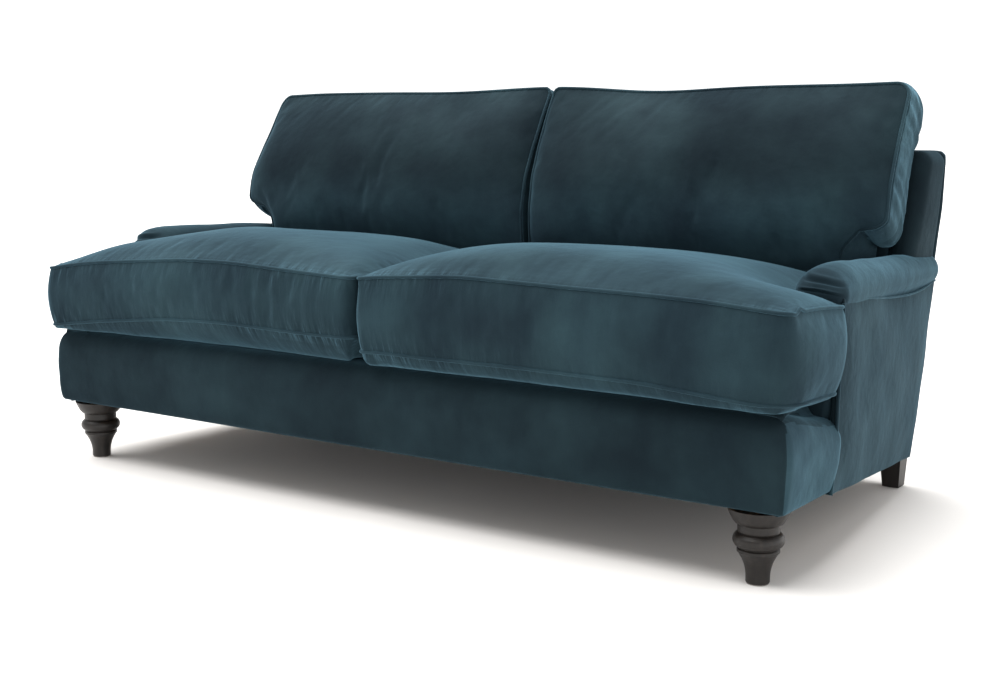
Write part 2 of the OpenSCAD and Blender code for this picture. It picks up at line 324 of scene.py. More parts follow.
class Nodes:
    """A material's node tree, with short ways to add and join nodes"""

    def __init__(self, name):
        self.material = bpy.data.materials.new(name)
        self.material.use_nodes = True
        self.tree = self.material.node_tree
        self.shader = self.tree.nodes["Principled BSDF"]
        self.place = self.add("ShaderNodeTexCoord").outputs["Object"]

    def add(self, kind, **settings):
        node = self.tree.nodes.new(kind)
        for key, value in settings.items():
            setattr(node, key, value)
        return node

    def join(self, a, b):
        self.tree.links.new(a, b)

    def give(self, value, socket):
        """Sets a socket to a number or a colour, or joins another node's output to it"""
        if isinstance(value, (int, float)):
            socket.default_value = value
        elif isinstance(value, tuple):
            socket.default_value = (*value, 1)
        else:
            self.join(value, socket)

    def noise(self, scale, detail=2.0, stretch=(1, 1, 1), rough=0.5):
        mapping = self.add("ShaderNodeMapping")
        mapping.inputs["Scale"].default_value = stretch
        self.join(self.place, mapping.inputs["Vector"])
        node = self.add("ShaderNodeTexNoise")
        node.inputs["Scale"].default_value = scale
        node.inputs["Detail"].default_value = detail
        node.inputs["Roughness"].default_value = rough
        self.join(mapping.outputs["Vector"], node.inputs["Vector"])
        return node.outputs["Fac"]

    def ramp(self, factor, stops):
        node = self.add("ShaderNodeValToRGB")
        marks = node.color_ramp.elements
        while len(marks) < len(stops):
            marks.new(0.5)
        for mark, (place, colour) in zip(marks, stops):
            mark.position = place
            mark.color = (*colour, 1)
        self.join(factor, node.inputs["Fac"])
        return node.outputs["Color"]

    def mix(self, blend, factor, a, b):
        node = self.add("ShaderNodeMix", data_type="RGBA", blend_type=blend)
        for value, socket in ((factor, node.inputs[0]), (a, node.inputs[6]), (b, node.inputs[7])):
            self.give(value, socket)
        return node.outputs[2]

    def maths(self, operation, a, b):
        node = self.add("ShaderNodeMath", operation=operation)
        self.give(a, node.inputs[0])
        self.give(b, node.inputs[1])
        return node.outputs[0]

    def bump(self, layers):
        """Bump from (height, strength, distance) layers, one over another"""
        before = None
        for height, strength, distance in layers:
            node = self.add("ShaderNodeBump")
            node.inputs["Strength"].default_value = strength
            node.inputs["Distance"].default_value = distance
            self.join(height, node.inputs["Height"])
            if before:
                self.join(before, node.inputs["Normal"])
            before = node.outputs["Normal"]
        self.join(before, self.shader.inputs["Normal"])

    def colour(self, output):
        self.join(output, self.shader.inputs["Base Color"])

    def roughness(self, factor, *stops):
        """Roughness from (place, value) pairs along factor"""
        self.join(self.grey(factor, *stops), self.shader.inputs["Roughness"])

    def grey(self, factor, *stops):
        return self.ramp(factor, [(place, (value,) * 3) for place, value in stops])

    def settings(self, **values):
        for key, value in values.items():
            self.shader.inputs[key.replace("_", " ")].default_value = value


def velvet(name, light_and_nap_lift=1.0, sheen=0.42):
    """Short-pile dark teal velvet with a blue-grey sheen. Its colour is scaled by a lift that paints light or
    shade onto the pieces it covers, partly also the nap, and is lightened further where a piece carries
    painted fill light
    """
    n = Nodes(name)
    shades = (0.0085, 0.0168, 0.0232), (0.0115, 0.0245, 0.0318), (0.0165, 0.0360, 0.0455)
    deep, plain, brushed = (tuple(c * light_and_nap_lift for c in shade) for shade in shades)
    cloud = n.noise(3.1, 4, (1, 1, 1.2), 0.55)
    colour = n.ramp(cloud, [(0.34, deep), (0.5, plain), (0.68, brushed)])
    streak = n.noise(9.0, 6, (1.0, 1.0, 0.45), 0.65)
    streak = n.ramp(streak, [(0.35, (0.80, 0.80, 0.84)), (0.68, (1.24, 1.22, 1.18))])
    colour = n.mix("MULTIPLY", 0.9, colour, streak)
    pile = n.noise(900, 2, (1, 1, 1), 0.6)
    colour = n.mix("MULTIPLY", 0.7, colour, n.grey(pile, (0.3, 0.82), (0.7, 1.16)))
    # Painted fill light: where a piece sets this attribute, the colour is raised, up to 2.6 times
    painted_fill_light = n.add("ShaderNodeAttribute", attribute_name="painted_fill_light").outputs["Fac"]
    n.colour(n.mix("MULTIPLY", painted_fill_light, colour, (2.6, 2.6, 2.6)))
    n.roughness(cloud, (0.3, 0.92), (0.7, 0.72))
    n.settings(
        Sheen_Weight=sheen, Sheen_Roughness=0.38, Sheen_Tint=(0.27, 0.55, 0.72, 1), Specular_IOR_Level=0.06)
    pucker = n.add("ShaderNodeAttribute", attribute_name="pucker").outputs["Fac"]
    gathers = n.maths("MULTIPLY", n.noise(46, 3, (1, 0.2, 0.2), 0.5), pucker)
    fine, broad = n.noise(60, 3), n.noise(14, 3)
    n.bump([(gathers, 1.0, 0.02), (pile, 0.18, 0.0012), (fine, 0.14, 0.004), (broad, 0.16, 0.02)])
    return n.material


def dark_wood():
    """Near-black stained wood with a satin finish and fine upright grain"""
    n = Nodes("dark_wood")
    grain = n.noise(40, 6, (3.0, 3.0, 0.35), 0.62)
    n.colour(n.ramp(grain, [
        (0.35, (0.0042, 0.0031, 0.0025)), (0.55, (0.0085, 0.0063, 0.0050)), (0.75, (0.018, 0.0132, 0.0102))]))
    n.roughness(grain, (0.3, 0.5), (0.8, 0.36))
    n.settings(Coat_Weight=0.12, Coat_Roughness=0.35, Specular_IOR_Level=0.3)
    n.bump([(grain, 0.12, 0.0008)])
    return n.material


def pine():
    """Planed softwood of the hidden frame"""
    n = Nodes("pine")
    grain = n.noise(18, 6, (0.3, 4.0, 4.0), 0.6)
    n.colour(n.ramp(grain, [
        (0.3, (0.36, 0.22, 0.11)), (0.55, (0.52, 0.34, 0.17)), (0.8, (0.66, 0.46, 0.25))]))
    n.settings(Roughness=0.7)
    n.bump([(grain, 0.2, 0.001)])
    return n.material


def metal(name, colour, roughness):
    """Metal with fine scratches and slight stains"""
    n = Nodes(name)
    stain = n.noise(60, 5)
    dull = tuple(c * 0.6 for c in colour)
    n.colour(n.ramp(stain, [(0.3, dull), (0.7, colour)]))
    n.roughness(stain, (0.3, roughness + 0.15), (0.7, roughness))
    n.settings(Metallic=1.0)
    n.bump([(n.noise(400, 3, (1, 6, 1)), 0.1, 0.0005)])
    return n.material


def woven(name, low, high, threads):
    """Plain woven cloth: two sets of threads crossing, with uneven yarn"""
    n = Nodes(name)
    warp, weft = (n.noise(threads, 2, stretch, 0.4) for stretch in ((1, 0.02, 0.02), (0.02, 1, 1)))
    weave = n.maths("MULTIPLY", n.maths("ADD", warp, weft), 0.5)
    colour = n.ramp(weave, [(0.35, low), (0.62, high)])
    blotch = n.grey(n.noise(9, 4), (0.3, 0.82), (0.7, 1.08))
    n.colour(n.mix("MULTIPLY", 0.8, colour, blotch))
    n.settings(Roughness=0.9)
    n.bump([(weave, 0.4, 0.001)])
    return n.material


def toothed(name, colour):
    """A dark coil zip, with teeth along x"""
    n = Nodes(name)
    wave = n.add("ShaderNodeTexWave", wave_type="BANDS", bands_direction="X")
    wave.inputs["Scale"].default_value = 120
    n.join(n.place, wave.inputs["Vector"])
    light = tuple(c * 2.2 for c in colour)
    n.colour(n.ramp(wave.outputs["Fac"], [(0.3, colour), (0.8, light)]))
    n.settings(Roughness=0.45)
    n.bump([(wave.outputs["Fac"], 0.6, 0.001)])
    return n.material


def plain_floor():
    """Pale studio floor, very slightly mottled"""
    n = Nodes("pale_floor")
    n.colour(n.ramp(n.noise(2.0, 3), [(0.3, (0.73, 0.715, 0.70)), (0.7, (0.76, 0.745, 0.73))]))
    n.settings(Roughness=0.9, Specular_IOR_Level=0.1)
    return n.material


# Copies of one velvet, made darker or lighter by a lift: painted light and shade, partly also the nap
VELVET = velvet("velvet")
# Darker copy: partly the nap brushed down, partly painted shade on the border's front and the back cushions'
# faces
NAP_SHADE_VELVET = velvet("velvet_nap_and_painted_shade", 0.62, 0.30)
# Darker still, for the back's ends over the arms: painted shade, with the nap brushed down
DEEP_SHADE_VELVET = velvet("velvet_nap_and_deep_painted_shade", 0.55, 0.15)
# Lighter copy: painted light on faces turned to the sides
LIT_VELVET = velvet("velvet_painted_light", 1.6)
# Lighter copy for the cords: painted highlight on the piping
PIPING_HIGHLIGHT_VELVET = velvet("velvet_piping_painted_highlight", 1.15)
WOOD = dark_wood()
PINE = pine()
STEEL = metal("steel", (0.55, 0.56, 0.58), 0.32)
GLIDE = metal("glide_nail", (0.30, 0.28, 0.26), 0.4)
HESSIAN = woven("hessian", (0.30, 0.20, 0.10), (0.62, 0.47, 0.29), 700)
WEBBING = woven("webbing", (0.035, 0.035, 0.038), (0.11, 0.11, 0.115), 500)
DUST = woven("dust_cloth", (0.008, 0.008, 0.009), (0.028, 0.028, 0.03), 900)
ZIP = toothed("zip", (0.012, 0.013, 0.015))

NODE_FINISH = {
    "leg_front": WOOD, "leg_rear": WOOD, "leg_glides": GLIDE, "leg_bolts": STEEL, "leg_nuts": STEEL,
    "seat_springs": STEEL, "spring_clips": STEEL, "back_webbing": WEBBING, "seat_hessian": HESSIAN,
    "seat_zip": ZIP, "back_zip": ZIP,
}
for node_name, node in frame["nodes"].items():
    found = [m for key, m in NODE_FINISH.items() if node_name.startswith(key)]
    node.data.materials.clear()
    node.data.materials.append(found[0] if found else PINE)


# ---- cushions ----


def spaced(stops, cell):
    """Values about cell apart that pass through every stop"""
    values = [stops[0]]
    for a, b in zip(stops, stops[1:]):
        count = max(1, round((b - a) / cell))
        values += [a + (b - a) * i / count for i in range(1, count + 1)]
    return np.array(values)


class Plan:
    """An L-shaped cutting pattern as a grid; its notch is at the high ends of u and v"""

    def __init__(self, u_stops, v_stops):
        self.u_stops, self.v_stops = u_stops, v_stops
        us, vs = spaced(u_stops, CELL), spaced(v_stops, CELL)
        nu, nv = len(us), len(vs)
        iu = int(np.argmin(abs(us - u_stops[1])))
        iv = int(np.argmin(abs(vs - v_stops[1])))
        i, j = np.meshgrid(range(nu), range(nv), indexing="ij")
        used = ~((i > iu) & (j > iv))
        ids = np.full((nu, nv), -1)
        ids[used] = np.arange(used.sum())
        self.ids, self.used = ids, used
        self.u, self.v = us[i][used], vs[j][used]
        self.cells = [
            [ids[a, b], ids[a + 1, b], ids[a + 1, b + 1], ids[a, b + 1]]
            for a in range(nu - 1) for b in range(nv - 1) if not (a >= iu and b >= iv)]
        walk = (
            [(a, 0) for a in range(nu - 1)] + [(nu - 1, b) for b in range(iv)]
            + [(a, iv) for a in range(nu - 1, iu, -1)] + [(iu, b) for b in range(iv, nv - 1)]
            + [(a, nv - 1) for a in range(iu, 0, -1)] + [(0, b) for b in range(nv - 1, 0, -1)])
        self.loop = np.array([ids[a, b] for a, b in walk])
        self.ring_u, self.ring_v = self.u[self.loop], self.v[self.loop]
        self.gap = self.distance()
        self.dome = self.membrane()

    def distance(self):
        """Distance of each point from the nearest seam"""
        (u0, ub, u1), (v0, vn, v1) = self.u_stops, self.v_stops
        u, v = self.u, self.v
        right = np.where(v > vn, ub - u, u1 - u)
        low = np.where(u > ub, vn - v, v1 - v)
        notch = np.hypot(np.maximum(ub - u, 0), np.maximum(vn - v, 0))
        notch = np.where((u > ub) | (v > vn), 9, notch)
        return np.minimum.reduce([u - u0, v - v0, right, low, notch])

    def membrane(self):
        """Height, from 0 at the seams to 1, of a skin with even pressure under it"""
        inside = np.zeros(self.ids.shape, bool)
        inside[self.used] = self.gap > 1e-6
        h = np.zeros(self.ids.shape)
        for _ in range(3500):
            h[1:-1, 1:-1] = (h[2:, 1:-1] + h[:-2, 1:-1] + h[1:-1, 2:] + h[1:-1, :-2]) / 4 + 1e-4
            h[~inside] = 0
        return h[self.used] / h.max()

    def rounded(self, radii):
        """u and v with each outer corner rounded to its own radius"""
        (u0, ub, u1), (v0, vn, v1) = self.u_stops, self.v_stops
        corners = [(u0, v0, -1, -1), (u1, v0, 1, -1), (u1, vn, 1, 1), (ub, v1, 1, 1), (u0, v1, -1, 1)]
        u, v = self.u.copy(), self.v.copy()
        for (cu, cv, su, sv), r in zip(corners, radii):
            new_u, new_v = round_corner(u, v, cu, cv, r, su, sv)
            if (cu, cv) == (ub, v1):
                here = u <= ub + 1e-9
                new_u, new_v = np.where(here, new_u, u), np.where(here, new_v, v)
            u, v = new_u, new_v
        return u, v


def inflate(obj, pins, slack, cap, limit):
    """Cloth with pressure inside and its seams held; no point moves further than cap"""
    rest = get_points(obj)
    group = obj.vertex_groups.new(name="seams")
    group.add([int(p) for p in pins], 1.0, "REPLACE")
    mod = obj.modifiers.new("Cloth", "CLOTH")
    cloth = mod.settings
    cloth.quality = 4
    cloth.mass = 0.35
    cloth.tension_stiffness = 12
    cloth.compression_stiffness = 12
    cloth.shear_stiffness = 4
    cloth.bending_stiffness = 0.6
    cloth.use_pressure = True
    cloth.uniform_pressure_force = 4.0
    cloth.effector_weights.gravity = 0
    cloth.vertex_group_mass = group.name
    cloth.shrink_min = -slack
    scene = bpy.context.scene
    for step in range(1, 21):
        scene.frame_set(step)
    shaped = obj.evaluated_get(bpy.context.evaluated_depsgraph_get())
    moved = read_vectors(shaped.data.vertices, "co") - rest
    obj.modifiers.remove(mod)
    scene.frame_set(1)
    far = np.linalg.norm(moved, axis=1)
    moved *= (cap * np.tanh(far / cap) / np.maximum(far, 1e-9))[:, None]
    set_points(obj, limit(rest + moved))


def build_cushion(name, plan, face, rear, rows, bulge, side):
    """A boxed cushion: face panel, rear panel and a boxing strip between their seams.

    Returns it with the points of its two seams, each point's distance from a seam, and 1 on the strip.
    """
    top, low = face[plan.loop], rear[plan.loop]
    middle = (top + low) / 2
    run = np.roll(middle, -1, 0) - np.roll(middle, 1, 0)
    out = np.cross(run, low - top)
    out /= np.linalg.norm(out, axis=1)[:, None]
    start = out[5] @ (middle[5] - middle.mean(0))
    out *= np.sign(start)
    count, ring = len(face), len(plan.loop)
    points, gap = [face, rear], [plan.gap, plan.gap]
    width = np.linalg.norm(low - top, axis=1)
    for r in range(1, rows):
        t = r / rows
        points.append(top * (1 - t) + low * t + out * (bulge * math.sin(math.pi * t) ** 0.8)[:, None])
        gap.append(width * min(t, 1 - t))
    faces = list(plan.cells) + [[count + v for v in reversed(c)] for c in plan.cells]
    seams = [plan.loop, plan.loop + count]
    strips = [2 * count + r * ring + np.arange(ring) for r in range(rows - 1)]
    levels = [seams[0]] + strips + [seams[1]]
    for upper, lower in zip(levels, levels[1:]):
        for k in range(ring):
            n = (k + 1) % ring
            faces.append([upper[k], lower[k], lower[n], upper[n]])
    obj = make_piece(name, np.concatenate(points), faces, side)
    gap = np.concatenate(gap)
    return obj, seams, gap, 1.0 * (np.arange(len(gap)) >= 2 * count)


def folds(along, gap, pitch, reach, seed):
    """Puckers that start at a seam and die out: along is measured on the seam"""
    rng = np.random.default_rng(seed)
    shift = rng.uniform(0, 6, 3)
    phase = 2 * math.pi * along / pitch
    phase = phase + 1.8 * np.sin(along * 23 + shift[0]) + 0.9 * np.sin(along * 61 + shift[1])
    strength = 0.55 + 0.45 * np.sin(along * 13 + shift[2])
    depth = gap / reach
    return np.sin(phase) * strength * depth * np.exp(1 - depth)


# Heights of the piped seams along the front of each seat cushion, by distance from the sofa's middle
SEAT_TOP_SEAM = {
    LEFT: [(0, 0.508), (0.13, 0.513), (0.34, 0.523), (0.49, 0.521),
           (0.67, 0.508), (0.81, 0.497), (0.98, 0.474)],
    RIGHT: [(0, 0.507), (0.06, 0.515), (0.28, 0.528), (0.51, 0.523),
            (0.70, 0.520), (0.82, 0.516), (0.98, 0.503)],
}
SEAT_LOW_SEAM = {
    LEFT: [(0, 0.384), (0.14, 0.383), (0.36, 0.388), (0.54, 0.382),
           (0.75, 0.362), (0.89, 0.345), (0.98, 0.335)],
    RIGHT: [(0, 0.356), (0.07, 0.361), (0.19, 0.360), (0.43, 0.362),
            (0.69, 0.360), (0.88, 0.346), (0.98, 0.340)],
}
# Greatest height of a seat cushion's top, by distance back: low where it runs under the back cushion
SEAT_ROOF = [(-0.05, 0.62), (0.40, 0.62), (0.50, 0.555), (0.57, 0.528), (0.64, 0.508), (0.70, 0.492)]
SEAT_SWELL_ROOF = [(-0.1, 0.7), (0.42, 0.7), (0.52, 0.552), (0.60, 0.521), (0.66, 0.506), (0.72, 0.492)]
SEAT_ROWS = 15
# Height of the top seam over the deck at the rear, of the crown over the seam, and of the lowest point
SEAT_BOXING = 0.158
SEAT_CROWN = 0.064
SEAT_FOOT = 0.3235
SEAT_PLAN = Plan(
    [seat_lo.x, SEAT_BODY, seat_hi.x],
    [seat_lo.y - FRONT, WING_BACK, seat_hi.y - FRONT])


def drift(x, back, side):
    """How far the seam between the seat cushions leans to the right at the front"""
    return side * 0.016 * np.exp(-(x / 0.22) ** 2) * ease(-back, -0.5, -0.05)


def shorten(x, side):
    """The left cushion's outer end is a little shorter than the right one's"""
    return 0.012 * ease(x, 0.86, 0.97) * (side == LEFT)


def seat_faces(side):
    """Points of the top and bottom panels of a seat cushion"""
    plan = SEAT_PLAN
    u, v = plan.rounded([0.016, 0.022, 0.018, 0.03, 0.03])
    back_edge = deck(v) + SEAT_BOXING + 0.02 * np.sin(math.pi * np.clip(u / SEAT_BODY, 0, 1))
    seam = table(u, SEAT_TOP_SEAM[side])
    blend = ease(v, 0.02, 0.45)
    z = seam * (1 - blend) + back_edge * blend + SEAT_CROWN * plan.dome ** 0.58
    z = np.minimum(z, table(v, SEAT_ROOF))
    u = u + drift(u, v, side) - shorten(u, side)
    face = np.stack([u, FRONT + v, z], 1)
    u, v = plan.rounded([0.03, 0.085 if side == RIGHT else 0.035, 0.05, 0.03, 0.03])
    seam = table(u, SEAT_LOW_SEAM[side])
    blend = ease(v, 0.0, 0.3)
    z = seam * (1 - blend) + (deck(v) + 0.013) * blend
    z = z - 0.075 * np.clip(plan.gap / 0.045, 0, 1) ** 0.8
    z = np.maximum(z, np.maximum(deck(v) + 0.003, SEAT_FOOT))
    nose = np.exp(-((plan.gap - 0.016) / 0.014) ** 2) * ease(-v, -0.06, 0.0)
    u = u + drift(u, v, side) - shorten(u, side)
    rear = np.stack([u, FRONT + v - 0.012 * nose, z], 1)
    return face, rear


def seat_limit(side):
    """Keeps a seat cushion off the deck, its neighbour, the arms and the fixed back"""
    def limit(points):
        x, y, z = (points * [side, 1, 1]).T
        back = y - FRONT
        x = np.maximum(x, MIDDLE_GAP + drift(0.0, back, side))
        x = np.where(back > WING_BACK + 0.004, np.minimum(x, arm_lo.x - 0.002), x)
        x = np.minimum(x, seat_hi.x + 0.018)
        z = np.maximum(z, np.maximum(deck(back) + 0.002, SEAT_FOOT - 0.001))
        z = np.minimum(z, table(back, SEAT_SWELL_ROOF))
        y = np.minimum(y, FRONT + back_face(z) - 0.004)
        y = np.maximum(y, FRONT - 0.046)
        return np.stack([x * side, y, z], 1)
    return limit


def seat_bulge(side):
    """How far the middle of a seat cushion's boxing stands out, along its seam"""
    ring_u, ring_v = SEAT_PLAN.ring_u, SEAT_PLAN.ring_v
    bulge = np.where(ring_v < 0.0, 0.012, 0.008)
    bulge = np.where(ring_u < seat_lo.x + 0.001, 0.0, bulge)
    bulge = np.where(ring_u > seat_hi.x - 0.01, 0.014 if side == RIGHT else 0.008, bulge)
    return np.where((ring_v > WING_BACK) & (ring_u > SEAT_BODY - 0.01), 0.002, bulge)


def seat_cushion(side):
    """One T-shaped seat cushion with two rows of piping"""
    label = SIDES[side]
    obj, seams, gap, strip = build_cushion(
        "seat_cushion_" + label, SEAT_PLAN, *seat_faces(side), SEAT_ROWS, seat_bulge(side), side)
    pins = np.concatenate(seams)
    inflate(obj, pins, 0.005, 0.012, seat_limit(side))
    points, normals = get_points(obj), get_normals(obj)
    x = points[:, 0] * side
    back = points[:, 1] - FRONT
    front = ease(-back, -0.12, 0.03)
    middle_end = np.exp(-(x / 0.26) ** 2)
    outer_end = ease(x, 0.80, 0.95)
    pucker = (0.30 + 0.7 * middle_end + 0.35 * outer_end) * front * np.exp(-gap / (0.012 + 0.016 * strip))
    set_values(obj, "pucker", pucker)
    strength = (0.0006 + 0.0016 * middle_end + 0.0012 * outer_end) * front
    crease = strength * folds(x + back, gap, 0.021, 0.013, 3 + side) * (0.6 + 0.4 * strip)
    crease += strip * (0.0006 + 0.0028 * middle_end) * front * folds(x + back, gap, 0.040, 0.040, 8 + side)
    crease += 0.0016 * wander(points, 0.24, 21 + side) * ease(gap, 0.0, 0.05)
    crease[pins] = 0
    points += normals * crease[:, None]
    set_points(obj, seat_limit(side)(points))
    subdivide(obj)
    nodes = ["seat_cover_" + label, "seat_core_" + label]
    finish_piece(obj, VELVET, nodes, "seat_cushion_" + label)
    points = get_points(obj)
    for number, ring in enumerate(seams):
        path = points[ring]
        if number == 0:
            # The top seam is rucked where it turns the front corner
            round_end = np.abs(path[:, 0]) > seat_hi.x - 0.03
            step = path[:, 1] - FRONT
            ruck = 0.006 * np.exp(-((step - 0.020) / 0.012) ** 2) - 0.003 * np.exp(-(step / 0.008) ** 2)
            path[:, 2] += ruck * round_end
        piece = tube(f"seat_piping_{label}_{number + 1}", path, PIPE_R, True)
        finish_piece(piece, PIPING_HIGHLIGHT_VELVET, ["seat_piping_" + label], "seat_cushion_" + label)


BACK_TOP = back_hi.z
BACK_ROWS = 12
BACK_PLAN = Plan(
    [back_lo.x, SEAT_BODY, EAR_X],
    [0.0, BACK_TOP - 0.594, BACK_TOP - back_lo.z])
# Distance from the border's face of a back cushion's two seams, by height
FACE_SEAM = [(0.50, 0.655), (0.56, 0.642), (0.62, 0.637), (0.652, 0.642), (0.695, 0.648),
             (0.767, 0.681), (0.817, 0.711), (0.858, 0.737), (0.885, 0.757), (0.912, 0.768)]
REAR_SEAM = [(0.50, 0.722), (0.564, 0.728), (0.585, 0.737), (0.623, 0.752), (0.691, 0.772), (0.739, 0.785),
             (0.781, 0.812), (0.817, 0.842), (0.850, 0.848), (0.880, 0.830), (0.912, 0.800)]
# How far the foot of each cushion's outer side is drawn in over the arm
FOOT_TUCK = {LEFT: 0.012, RIGHT: 0.050}
# Heights between which the back cushion's colour is painted lighter downward: painted fill light for the
# shade at its foot
FILL_LIGHT_TOP, FILL_LIGHT_FOOT = 0.74, 0.56


def gape(u, z):
    """The gap between the back cushions, which opens towards the seat"""
    return 0.006 * np.exp(-(u / 0.15) ** 2) * ease(-z, -BACK_TOP, -0.6)


def rise(u, v, side):
    """How far the ends of a back cushion's top edge stand above its middle"""
    corner = (0.003 if side == RIGHT else -0.004) * np.exp(-((EAR_X - u) / 0.10) ** 2)
    sag = (0.009 if side == RIGHT else 0.003) * np.exp(-((u - 0.30) / 0.17) ** 2)
    return (0.006 * np.exp(-(u / 0.20) ** 2) + corner - sag) * ease(-v, -0.12, 0.0)


def droop(u, v, side):
    """How far the left cushion's ear spreads outward near its foot"""
    return 0.024 * ease(v, 0.08, 0.26) * ease(u, 0.72, 0.88) * ease(-v, -0.345, -0.30) * (side == LEFT)


def lean(z):
    """A small bend of a back cushion's face about its middle height"""
    return 0.004 * np.sin((z - 0.6) * 14)


def back_faces(side):
    """Points of the front and rear panels of a back cushion"""
    plan = BACK_PLAN
    u, v = plan.rounded([0.014, 0.030, 0.026, 0.03, 0.03])
    z = BACK_TOP - v
    low = ease(v, 0.20, 0.31)
    outer = ease(u, SEAT_BODY - 0.05, SEAT_BODY + 0.03)
    z = z + 0.012 * outer * low
    tuck = FOOT_TUCK[side] * ease(v, 0.29, 0.37) * ease(u, 0.6, SEAT_BODY)
    tuck = tuck - droop(u, v, side)
    back = table(z, FACE_SEAM) - 0.046 * plan.dome ** 0.6 + lean(z)
    face = np.stack([u - tuck + gape(u, z), FRONT + back, z + rise(u, v, side)], 1)
    u, v = plan.rounded([0.03, 0.05, 0.04, 0.03, 0.03])
    z = BACK_TOP - 0.012 - v * 0.98
    z = z - 0.018 * ease(-v, -0.08, 0.0) * np.sin(math.pi * np.clip(u / EAR_X, 0, 1))
    z = z - 0.034 * outer * low
    back = table(z, REAR_SEAM)
    pressed = np.minimum(back, back_face(z) - 0.004)
    back = np.where(z < inside_hi.z + 0.004, pressed, back + 0.012 * plan.dome ** 0.5)
    rear = np.stack([u + gape(u, z) + droop(u, v, side), FRONT + back, z + rise(u, v, side)], 1)
    return face, rear


def back_limit(side):
    """Keeps a back cushion off its neighbour, the fixed back, the seat and the arm"""
    def limit(points):
        x, y, z = (points * [side, 1, 1]).T
        x = np.maximum(x, MIDDLE_GAP + gape(0.0, z))
        wall = np.where(z < inside_hi.z, FRONT + back_face(z) - 0.003, 9)
        y = np.minimum(y, wall)
        x = np.minimum(x, EAR_X + (0.012 if side == RIGHT else 0.032))
        over_arm = x > SEAT_BODY + 0.004
        z = np.where(over_arm, np.maximum(z, arm_hi.z - 0.004), np.maximum(z, back_lo.z - 0.001))
        z = np.minimum(z, BACK_TOP + 0.009)
        return np.stack([x * side, y, z], 1)
    return limit


def back_bulge():
    """How far the middle of a back cushion's boxing stands out, along its seam"""
    ring_u, ring_v = BACK_PLAN.ring_u, BACK_PLAN.ring_v
    bulge = np.where(ring_u > SEAT_BODY + 0.01, 0.010, 0.004)
    bulge = np.where(ring_v > BACK_PLAN.v_stops[2] - 0.01, 0.0, bulge)
    return np.where(ring_u < back_lo.x + 0.001, 0.0, bulge)


def back_cushion(side):
    """One back cushion with an ear over the arm, and piping round its face"""
    label = SIDES[side]
    obj, seams, gap, boxing = build_cushion(
        "back_cushion_" + label, BACK_PLAN, *back_faces(side), BACK_ROWS, back_bulge(), side)
    pins = np.concatenate(seams)
    inflate(obj, pins, 0.008, 0.014, back_limit(side))
    points, normals = get_points(obj), get_normals(obj)
    x = points[:, 0] * side
    back = points[:, 1] - FRONT
    outer = ease(x, EAR_X - 0.04, EAR_X - 0.005) * boxing
    slant = (1.3 * back + points[:, 2]) / 1.64
    ruche = np.sin(2 * math.pi * slant / 0.030 + 1.9 * np.sin(slant * 31) + side)
    ruche *= 0.6 + 0.4 * np.sin(slant * 47)
    crease = 0.0050 * outer * ruche * ease(gap, 0.0, 0.02)
    pucker = (0.25 + 1.0 * outer) * np.exp(-gap / (0.012 + 0.03 * outer))
    set_values(obj, "pucker", pucker)
    # Painted fill light: the colour is lightened towards the cushion's foot, where shade falls between it and
    # the seat, except on the ear's outer boxing
    painted_fill_light = ease(-points[:, 2], -FILL_LIGHT_TOP, -FILL_LIGHT_FOOT) * (1 - outer)
    set_values(obj, "painted_fill_light", painted_fill_light)
    crease += 0.0007 * (1 - boxing) * folds(x + points[:, 2], gap, 0.03, 0.018, 31 + side)
    crease += 0.0020 * wander(points, 0.20, 41 + side) * ease(gap, 0.0, 0.06)
    crease[pins] = 0
    points += normals * crease[:, None]
    set_points(obj, back_limit(side)(points))
    subdivide(obj)
    nodes = ["back_cover_" + label, "back_fill_" + label]
    # The darker copy: painted shade on the back cushion, partly the nap
    finish_piece(obj, NAP_SHADE_VELVET, nodes, "back_cushion_" + label)
    # The ear's outer boxing takes the lighter copy: painted light on the side of the ear
    obj.data.materials.append(LIT_VELVET)
    panels = 2 * len(BACK_PLAN.cells)
    for number, strip in enumerate(obj.data.polygons):
        strip.material_index = int(number >= panels and abs(strip.center.x) > SEAT_BODY)
    piece = tube("back_piping_" + label, get_points(obj)[seams[0]], PIPE_R, True)
    finish_piece(piece, PIPING_HIGHLIGHT_VELVET, ["back_piping_" + label], "back_cushion_" + label)


for cushion_side in (LEFT, RIGHT):
    seat_cushion(cushion_side)
    back_cushion(cushion_side)


# ---- the fixed upholstery ----


# The front edge of an arm's outer side, as distance back and height
PANEL_EDGE = [(0.210, 0.141), (0.226, 0.190), (0.235, 0.255), (0.236, 0.318),
              (0.240, 0.362), (0.246, 0.419), (0.249, 0.470), (0.250, 0.495)]


